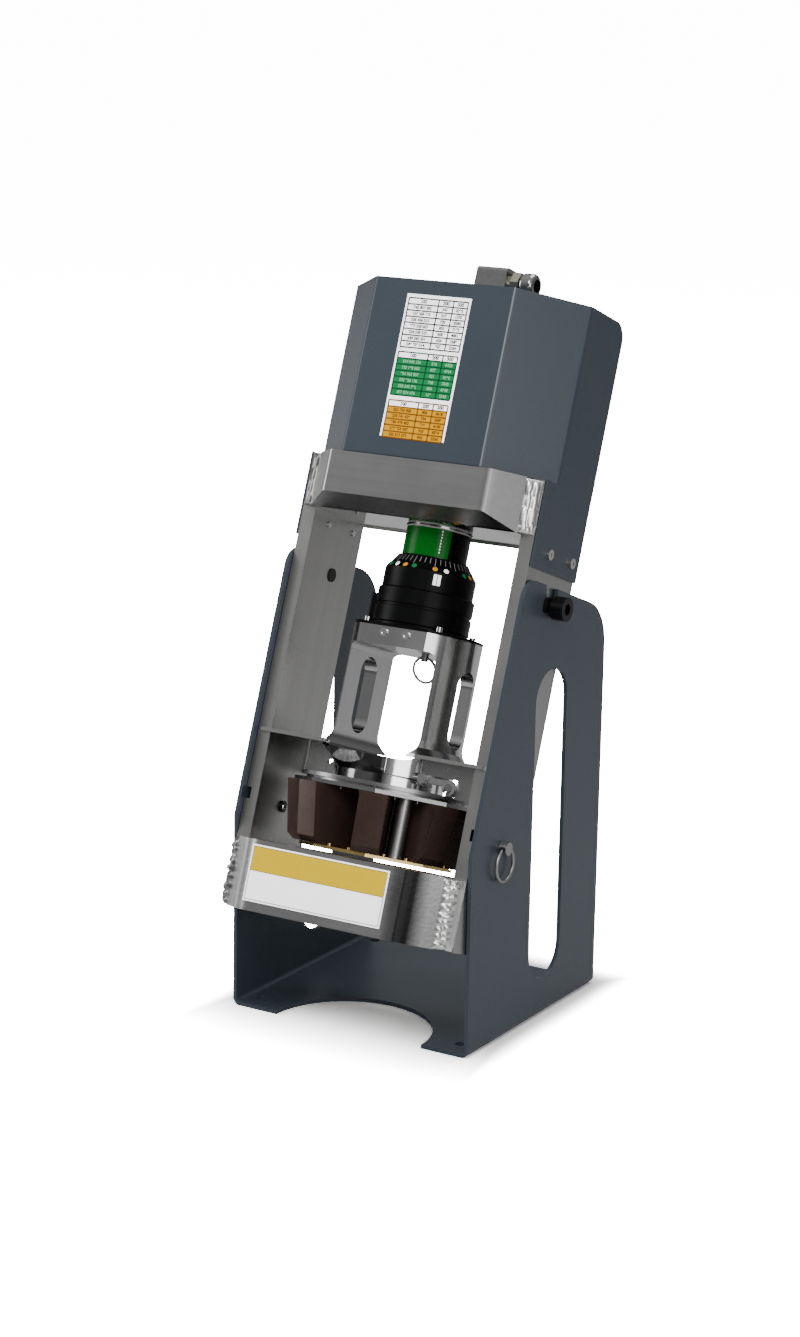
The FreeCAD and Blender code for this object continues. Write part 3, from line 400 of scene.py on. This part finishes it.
def bead(side, plate_v, block_v, levels, seed, rows, tall, pitch, high, body):
    """One bead, from the block's side at block_v round to the plate's edge at plate_v. The rows are its
    lumps' places over its width; tall, pitch and high are the ranges that each lump is drawn from."""
    draw = random.Random(seed)
    bottom, top = levels
    stray = 0.09
    narrowest, widest = 0.13, 0.24
    lumps = []
    for row in rows:
        w = bottom + draw.uniform(1, 4)
        while w < top - 1.0:
            lumps.append((row + draw.uniform(-stray, stray), w, draw.uniform(narrowest, widest),
                          draw.uniform(*tall), draw.uniform(*high)))
            w += draw.uniform(*pitch)
    run = plate_v - block_v
    length = math.hypot(BEAD_WIDTH, run)
    sign = math.copysign(1, run)
    out_x = run / length * sign
    out_v = -BEAD_WIDTH / length * sign
    columns = 18
    step_height = 0.6
    steps = int((top - bottom) / step_height)
    end_rounding = 7.0
    root_gap = 0.4
    verts = []
    for i in range(steps + 1):
        w = bottom + (top - bottom) * i / steps
        end = min(1.0, min(w - bottom, top - w) / end_rounding)
        taper = math.sqrt(1 - (1 - end) ** 2)
        for j in range(columns + 1):
            t = j / columns
            swell = math.sqrt(math.sin(math.pi * t)) if 0 < t < 1 else 0.0
            rise = 0.0
            for middle, level, wide, reach, height in lumps:
                inside = 1 - ((t - middle) / wide) ** 2 - ((w - level) / reach) ** 2
                if inside > 0:
                    rise = max(rise, height * math.sqrt(inside))
            lump = (body * swell + rise * min(1.0, 2 * swell)) * taper
            verts.append((side * (PLATE_INSIDE + BEAD_WIDTH * t + out_x * lump),
                          block_v + run * t + out_v * lump, w))
    root_low = len(verts)
    root_high = root_low + 1
    root_x = side * (PLATE_INSIDE + root_gap)
    verts += [(root_x, plate_v, bottom), (root_x, plate_v, top)]
    line = columns + 1
    faces = [(i * line + j, i * line + j + 1, (i + 1) * line + j + 1, (i + 1) * line + j)
             for i in range(steps) for j in range(columns)]
    faces += [(root_low, j + 1, j) for j in range(columns)]
    faces += [(root_high, steps * line + j, steps * line + j + 1) for j in range(columns)]
    return [head(*v) for v in verts], faces


def weld_look(place):
    # The left-hand side is darker than the right, a painted shade.
    unshaded_right_hand = head_axis(place, ACROSS) > 0.0
    clean_tone_shaded_left = mix(unshaded_right_hand, rgb(0.42, 0.41, 0.40), rgb(1.0, 1.0, 0.99))
    dull = mix(unshaded_right_hand, grey(0.10), rgb(0.58, 0.57, 0.56))
    return {"Base Color": mix(noise(place, 90.0), dull, clean_tone_shaded_left),
            "Roughness": span(noise(place, 260.0), 0.24, 0.36)}


corners = ((PLATE_FRONT, BLOCK_FRONT_SIDE, BLOCK_LEVELS, LONG_LUMPS),
           (PLATE_FRONT, -BOWL_SIDE, BOWL_LEVELS, SHORT_LUMPS),
           (PLATE_BACK, BOWL_SIDE, BOWL_LEVELS, SHORT_LUMPS))
beads = []
for side in (-1, 1):
    for k, (plate_v, block_v, levels, lumps) in enumerate(corners):
        beads.append(bead(side, plate_v, block_v, levels, 11 + 7 * k + side, **lumps))
weld_steel = material("weld_steel", weld_look, Metallic=1.0)
weld_lumps = piece("weld_lumps", joined(beads), "head", weld_steel, smooth=True)
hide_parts("weld_beads")


# Hood: 2 mm sheet folded over the cylinder, with a skirt each side that is screwed to the side plates, in
# the stand's paint. The pale line along the bend at the front right is a painted highlight.
def hood_look(place):
    look = paint_look(place)
    across = head_axis(place, ACROSS)
    # A thin pale line along the front right bend, a painted highlight.
    painted_bend_highlight = (across > 0.0668) * (across < 0.0681) * (head_axis(place, BACK) < -0.0708)
    look["Base Color"] = mix(painted_bend_highlight, look["Base Color"], rgb(0.20, 0.22, 0.24))
    return look


paint(material("hood_paint", hood_look, Specular_IOR_Level=0.35, Coat_Weight=0.1, Coat_Roughness=0.2), "hood")


# Rating charts: a printed film stuck on the hood's front, with a white, a green and an orange table of
# plain numbers. Rules and figures are heavier than real print, so that they read at the photograph's
# size, and the white is set above 1, so that it comes out as overexposed.
HOOD_FACE = -72.3
CHART_FACE = HOOD_FACE - 0.3
CHART_LEFT, CHART_RIGHT, CHART_LOW, CHART_HIGH = -34.0, 29.0, 116.0, 240.0
COLUMN_LINES = (CHART_LEFT + 2.5, CHART_LEFT + 32.0, CHART_LEFT + 46.5, CHART_RIGHT - 2.5)
COLUMN_DIGITS = (9, 3, 4)
ROW_PITCH = 5.35
RULE_HALF = 0.56
FILL_FACE = CHART_FACE - 0.05
RULE_ROOT, RULE_FACE = CHART_FACE - 0.04, CHART_FACE - 0.09
FIGURE_FACE = CHART_FACE - 0.12
FIGURE_SIZE, HEADING_SIZE = 3.5, 4.2


def ink(name, colour):
    """Plain printing ink."""
    return material(name, Base_Color=rgb(*colour), Roughness=0.5, Specular_IOR_Level=0.15)


def film(name, colour):
    """A printed film, dulled a little by handling."""
    def look(place):
        handled = noise(place, 40.0, 3.0)
        return {"Base Color": toned(handled, colour, 0.94), "Roughness": span(handled, 0.42, 0.58)}
    return material(name, look, Specular_IOR_Level=0.15)


def printed(name, slot, look, *boxes):
    """Thin boxes on the front of the head, in millimetres: two levels across, two back and two up."""
    loops = [(0, 1, 3, 2), (4, 6, 7, 5), (0, 4, 5, 1), (2, 3, 7, 6), (0, 2, 6, 4), (1, 5, 7, 3)]
    parts = [([head(x, v, w) for x in (x0, x1) for v in (v0, v1) for w in (w0, w1)], loops)
             for x0, x1, v0, v1, w0, w1 in boxes]
    piece(name, joined(parts), "head", look)


def numbers(name, lines, x, w, size, look):
    """Lines of plain numbers on the chart, centred on x; w is the first line's middle."""
    one_line = len(lines) == 1
    curve = bpy.data.curves.new(name, "FONT")
    curve.body = "\n".join(lines)
    curve.size = size * MM
    curve.space_line = ROW_PITCH / size
    curve.align_x = "CENTER"
    curve.align_y = "CENTER" if one_line else "TOP"
    curve.extrude = 0.03 * MM
    curve.offset = 0.13 * MM
    curve.materials.append(look)
    obj = bpy.data.objects.new(name, curve)
    place = Matrix.Translation(head(x, FIGURE_FACE, w + (0.0 if one_line else size / 2)))
    obj.matrix_world = place @ Matrix.Rotation(math.radians(90) - HEAD_LEAN, 4, "X")
    scene.collection.objects.link(obj)
    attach(obj, "head")


# The white print is set above 1, painted light: it gives back more light than falls on it and comes out
# overexposed.
overbright_white_print = film("overbright_white_print", (2.25, 2.25, 2.25))
green_print = film("green_print", (0.003, 0.28, 0.072))
orange_print = film("orange_print", (0.97, 0.43, 0.0))
grey_print = ink("grey_print", (0.03, 0.03, 0.035))
dark_print = ink("dark_print", (0.03, 0.03, 0.03))
pale_green_print = ink("pale_green_print", (0.30, 0.70, 0.40))
dark_green_print = ink("dark_green_print", (0.002, 0.07, 0.025))
dark_orange_print = ink("dark_orange_print", (0.22, 0.08, 0.003))
printed("chart_plate", "painted_steel", overbright_white_print,
        (CHART_LEFT, CHART_RIGHT, CHART_FACE, HOOD_FACE, CHART_LOW, CHART_HIGH))
draw_numbers = random.Random(5)
for title, top, rows, fill, rule, figures in (
        ("white", 236.5, 8, None, grey_print, grey_print),
        ("green", 189.5, 7, green_print, dark_green_print, pale_green_print),
        ("orange", 147.5, 6, orange_print, dark_orange_print, dark_orange_print)):
    bottom = top - rows * ROW_PITCH
    left, right = COLUMN_LINES[0], COLUMN_LINES[-1]
    if fill:
        printed("chart_%s_fill" % title, "painted_steel", fill,
                (left, right, FILL_FACE, CHART_FACE, bottom, top - ROW_PITCH))
    levels = [top - ROW_PITCH * k for k in range(rows + 1)]
    rules = [(left, right, RULE_FACE, RULE_ROOT, w - RULE_HALF, w + RULE_HALF) for w in levels]
    rules += [(x - RULE_HALF, x + RULE_HALF, RULE_FACE, RULE_ROOT, bottom, top) for x in COLUMN_LINES]
    printed("chart_%s_rules" % title, "painted_steel", rule, *rules)
    for column, digits in enumerate(COLUMN_DIGITS):
        x = (COLUMN_LINES[column] + COLUMN_LINES[column + 1]) / 2
        lines = []
        for _ in range(rows - 1):
            figure = "".join(str(draw_numbers.randint(0, 9)) for _ in range(digits))
            lines.append(figure[:3] + " " + figure[3:6] + " " + figure[6:] if digits == 9 else figure)
        numbers("chart_%s_numbers_%d" % (title, column + 1), lines, x, top - ROW_PITCH * 1.5, FIGURE_SIZE,
                figures)
        numbers("chart_%s_head_%d" % (title, column + 1), ["%d00" % (column + 1)], x, top - ROW_PITCH / 2,
                HEADING_SIZE, dark_print)


# Plate on the bowl: a printed film stuck on its front, with a bare yellow band over a bare white field,
# both in a thin dark line.
BOWL_FACE = -84.5
FILM_FACE = BOWL_FACE - 0.4
INK_FACE = FILM_FACE - 0.1
FILM_LEFT, FILM_RIGHT, FILM_LOW, FILM_HIGH = -69.5, 65.5, -291.0, -243.0
BAND_LOW = FILM_HIGH - 22.0
BORDER, BAND_SIDE, BAND_TOP = 1.6, 2, 1.8
LINE_HALF = 0.25
printed("bowl_label", "machined_steel", overbright_white_print,
        (FILM_LEFT, FILM_RIGHT, FILM_FACE, BOWL_FACE, FILM_LOW, FILM_HIGH))
printed("bowl_label_band", "machined_steel", film("yellow_print", (0.97, 0.65, 0.0)),
        (FILM_LEFT + BAND_SIDE, FILM_RIGHT - BAND_SIDE, INK_FACE, FILM_FACE, BAND_LOW,
         FILM_HIGH - BAND_TOP))
border = [(FILM_LEFT + BORDER, FILM_RIGHT - BORDER, INK_FACE, FILM_FACE, w - LINE_HALF, w + LINE_HALF)
          for w in (FILM_LOW + BORDER, FILM_HIGH - BORDER, BAND_LOW)]
border += [(x - LINE_HALF, x + LINE_HALF, INK_FACE, FILM_FACE, FILM_LOW + BORDER, FILM_HIGH - BORDER)
           for x in (FILM_LEFT + BORDER, FILM_RIGHT - BORDER)]
printed("bowl_label_border", "machined_steel", dark_print, *border)


# Pivot bolts and ball plunger: turned steel with a black oxide finish. A shoulder bolt with its washer
# goes through each side of the stand, and the plunger's body is screwed into the side plate.
def plain_metal(name, tone, rough, grain=900.0):
    """Turned or pressed metal with fine marks."""
    def look(place):
        marks = noise(place, grain, 3.0)
        return {"Base Color": toned(marks, tone, 0.75), "Roughness": span(marks, rough - 0.06, rough + 0.08),
                "Normal": bump(marks, 0.3, 0.00004)}
    return material(name, look, Metallic=1.0)


paint(plain_metal("black_oxide", (0.035, 0.035, 0.037), 0.34), "pivot_bolts", "pivot_washers", "plunger_body")

# Hood screws and the plunger's ball: small bright steel screws that hold the hood's skirts to the side
# plates, and a polished steel ball on a spring that the die cage clicks against.
bright_steel = plain_metal("bright_steel", (0.66, 0.66, 0.65), 0.2)
paint(bright_steel, "hood_screws", "plunger_ball")

# Lock pins: quick-release pins of plain steel, pushed through the stand into the head at each side, each
# with a ring of bent wire to pull it by.
dull_steel = plain_metal("dull_steel", (0.40, 0.40, 0.40), 0.36)
paint(dull_steel, "right_lock_pin", "left_lock_pin", "right_pin_ring", "left_pin_ring")


# Cylinder inside the hood: a turned steel barrel and cap, a bronze gland that guides the rod, rubber
# seals in the piston's groove and under the gland, and a coil spring between two anchors that draws the
# rod back.
def rubber_look(place):
    return {"Roughness": span(noise(place, 80.0, 3.0), 0.62, 0.78)}


paint(milled("cylinder_steel", (0.42, 0.42, 0.42), (1.0, 1.0, 40.0)), "cylinder_barrel", "cylinder_cap")
paint(plain_metal("bearing_bronze", (0.55, 0.38, 0.18), 0.35), "rod_gland")
paint(material("seal_rubber", rubber_look, Base_Color=grey(0.012)), "rod_wiper", "piston_seal")
paint(dull_steel, "return_spring", "spring_anchors")

# Hydraulic inlet: a square steel elbow whose stem passes through the hood's top and is screwed to the
# cylinder's cap, a hexagon adapter of yellowish plated steel, and a turned coupling half.
paint(plain_metal("fitting_steel", (0.44, 0.45, 0.44), 0.14, 300.0), "inlet_elbow", "inlet_coupler")
paint(plain_metal("plated_hex", (0.72, 0.68, 0.58), 0.22), "inlet_adapter")


# Ram and sleeve: a hard-chromed steel rod that runs inside a printed sleeve, green over its front left
# and black elsewhere, with a thin pale edge at the top under the block.
def sleeve_look(place):
    green = head_axis(place, ACROSS) < 0.0226
    pale_edge = head_axis(place, UP) > 0.0497
    printed_part = mix(green, grey(0.002), rgb(0.0, 0.13, 0.008))
    return {"Base Color": mix(pale_edge, printed_part, grey(0.45)),
            "Roughness": span(noise(place, 50.0), 0.18, 0.3)}


paint(plain_metal("hard_chrome", (0.72, 0.72, 0.72), 0.12, 300.0), "ram_rod")
paint(material("printed_sleeve", sleeve_look, Specular_IOR_Level=0.1), "ram_sleeve")


# Dial: a ring and a collar of turned and blackened steel, on the black plate that caps the pusher. White
# ticks and coloured dots are printed round the ring's cone, and one white index on its rim below that.
CONE_WIDE, CONE_NARROW = 39.8, 30.5
CONE_LOW, CONE_HIGH = 12.0, 25.0
TICKS, TICK_TURN, FIRST_TICK, TICK_HALF = 48, 7.5, 3.0, 0.42
TICK_FOOT, LONG_TICK_FOOT, TICK_TOP = 18.5, 16.5, 23.5


def satin_look(place):
    return {"Roughness": span(noise(place, 60.0, 3.0), 0.26, 0.4)}


def cone_radius(w):
    """The dial's radius at a level: a cone above CONE_LOW, straight below it."""
    if w <= CONE_LOW:
        return CONE_WIDE
    return CONE_NARROW + (CONE_WIDE - CONE_NARROW) * (CONE_HIGH - w) / (CONE_HIGH - CONE_LOW)


def on_dial(radius, angle, w):
    """A point round the ram; the angle is in degrees from the front, towards the right."""
    turn = math.radians(angle)
    return head(radius * math.sin(turn), -radius * math.cos(turn), w)


def cone_patch(angle, spread, w0, w1):
    """A four-cornered patch that lies on the dial between two levels."""
    lift = 0.12
    corners = [on_dial(cone_radius(w) + lift, angle + side * spread, w + lift * 0.5)
               for w, side in ((w0, -1), (w0, 1), (w1, 1), (w1, -1))]
    return corners, [(0, 1, 2, 3)]


def dot(angle):
    """A round dot that lies on the dial's cone."""
    level, radius, corners = 14.2, 2.3, 14
    points = []
    for k in range(corners):
        turn = 2 * math.pi * k / corners
        w = level + radius * 0.8 * math.cos(turn)
        reach = cone_radius(w)
        spread = math.degrees(radius * math.sin(turn) / reach)
        points.append(on_dial(reach + 0.15, angle + spread, w + 0.08))
    return points, [tuple(range(corners))]


black_satin = material("black_satin", satin_look, Base_Color=grey(0.003), Specular_IOR_Level=0.08)
paint(black_satin, "dial_ring", "dial_collar", "pusher_cap_plate")
ticks = [cone_patch(TICK_TURN * k + FIRST_TICK, TICK_HALF, TICK_FOOT if k % 4 else LONG_TICK_FOOT, TICK_TOP)
         for k in range(TICKS)]
piece("dial_ticks", joined(ticks), "dial", ink("tick_print", (0.34, 0.34, 0.34)))
for colour, look, angles in (
        ("orange", orange_print, (-92, -49, -7, 33.8, 90, 133, 176, 219)),
        ("green", green_print, (-78, -35.5, 6.3, 77, 120, 163, 206)),
        ("white", overbright_white_print, (-63.5, -21, 48.7, 105, 148, 191, 234))):
    piece("dial_dots_" + colour, joined([dot(angle) for angle in angles]), "dial", look)
piece("dial_index", cone_patch(38.4, 4.6, 0.5, 9.8), "dial", overbright_white_print)


# Scale on the sleeve: a row of short white dashes printed up the edge of the green, which the dial's
# upper rim is read against.
SLEEVE_PRINT = 28.45
DASH_LEFT, DASH_RIGHT = 35.3, 36.7
FIRST_DASH, DASH_PITCH, DASH_HEIGHT = 29.0, 2.6, 1.3
dashes = []
for k in range(8):
    low = FIRST_DASH + DASH_PITCH * k
    high = low + DASH_HEIGHT
    dashes.append(([on_dial(SLEEVE_PRINT, angle, w) for w, angle in (
        (low, DASH_LEFT), (low, DASH_RIGHT), (high, DASH_RIGHT), (high, DASH_LEFT))], [(0, 1, 2, 3)]))
piece("sleeve_dashes", joined(dashes), "ram", overbright_white_print)


# Pusher: one piece of steel, turned outside and milled to two slotted legs round an open window, and
# fixed under the ram. Its right half is toned a little brighter, a painted reflection.
paint(milled("pusher_steel", (0.50, 0.50, 0.50), (1.0, 1.0, 0.05), (0.1, 0.22),
             painted_reflection_bands=((ACROSS, 0.0, 0.02, 1.3),)), "pusher")


# Pusher's foot: a turned steel ring with milled ribs, fixed under the legs. It is toned dull, a painted
# shade, and bright only at the front right, a painted reflection.
def foot_look(place):
    grain = noise(place, 200.0, 3.0)
    # Dark grain is painted shade; the bright right-hand part is a painted reflection.
    painted_reflection_side = head_axis(place, ACROSS) > 0.0165
    return {"Base Color": mix(painted_reflection_side, mix(grain, grey(0.16), grey(0.30)), grey(0.85)),
            "Roughness": span(grain, 0.06, 0.16)}


paint(material("foot_steel", foot_look, Metallic=1.0), "pusher_base")

# Guide wings and the pusher's screws: bright steel strips fixed to the foot, which run along the side
# plates, the set screws in the pusher and the screws of its cap plate.
paint(bright_steel, "right_guide_wing", "left_guide_wing", "pusher_set_screws", "pusher_cap_screws")

# Release plunger: a small sprung pin of plain steel in the pusher's window, with a ring of thin wire
# through its end to pull it by.
paint(dull_steel, "release_plunger", "release_ring")

# Die cage: a stepped steel disc and an eight-sided steel plate above the dies, a thin eight-sided plate of
# bright brass below them, and turned posts that hold the plates apart.
cage_steel = milled("cage_steel", (0.36, 0.36, 0.36), (1.0, 1.0, 1.0), (0.22, 0.34))
paint(cage_steel, "cage_top_plate", "cage_retainer")
paint(dull_steel, "cage_posts")
paint(plain_metal("bright_brass", (0.80, 0.58, 0.22), 0.24), "cage_floor_plate")


# Cage screws: beside each gap between two dies, two small screws under the upper plate, of dark steel,
# and two on the floor plate, of brass.
def cage_screw_look(place):
    upper = head_axis(place, UP) > -0.205
    return {"Base Color": mix(upper, rgb(0.75, 0.54, 0.20), grey(0.10)),
            "Roughness": span(noise(place, 500.0), 0.2, 0.32)}


paint(material("cage_screw_metal", cage_screw_look, Metallic=1.0), "cage_screws")

# Latches: milled steel hooks on pivot screws in their brackets, which hold the cage under the pusher's
# foot, and the catches that they close on.
paint(cage_steel, "latch_brackets", "latch_catches")
paint(dull_steel, "right_latch_hook", "left_latch_hook", "bracket_screws", "latch_screws")


# Dies: eight wedges of hardened steel that hang in the cage and slide in along the bowl's taper. They
# are dark brown with oil and blackening, and fine grinding lines run up them.
def die_look(place):
    cloud = noise(place, 30.0, 4.0)
    grain = noise(place, 420.0, 3.0, (1.0, 1.0, 0.06))
    return {"Base Color": mix(cloud, rgb(0.038, 0.022, 0.017), rgb(0.108, 0.064, 0.052)),
            "Roughness": span(grain, 0.26, 0.44), "Normal": bump(grain, 0.25, 0.00005)}


die_names = ["die_%d" % k for k in range(1, 9)]
paint(material("die_steel", die_look, Metallic=0.55), *die_names)
soften(0.6, *die_names)
